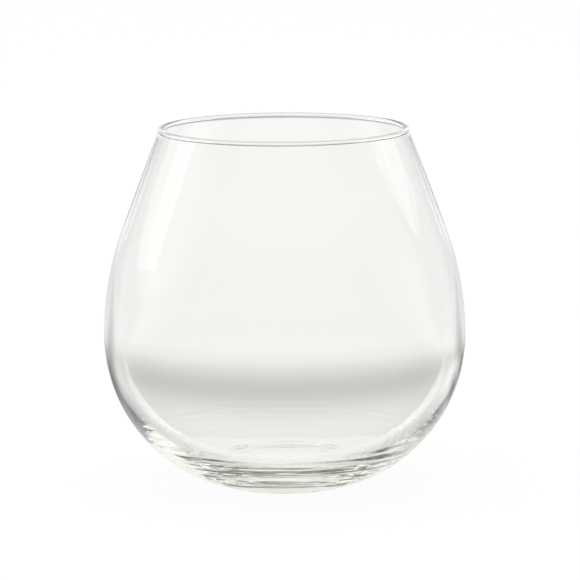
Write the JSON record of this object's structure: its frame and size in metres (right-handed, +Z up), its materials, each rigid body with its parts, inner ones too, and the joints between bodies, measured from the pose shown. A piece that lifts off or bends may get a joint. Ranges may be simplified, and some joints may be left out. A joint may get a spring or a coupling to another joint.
{
  "type": "stemless wine glass",
  "caption": "Stemless drinking glass for sangria or wine: a round-bellied bowl of clear glass that narrows to a fire-polished lip and stands on a small flat ring under a thick foot.",
  "frame": {"origin": "centre of the flat ring that the glass stands on, on the table", "axes": "+Z up along the axis of the glass; the glass is round, so X and Y are free, with -Y towards the pictured side"},
  "size_m": [0.1, 0.1, 0.099],
  "materials": {
    "clear_glass": "polished"
  },
  "bodies": {
    "root": {"glass_bowl": "clear_glass"}
  },
  "joints": []
}
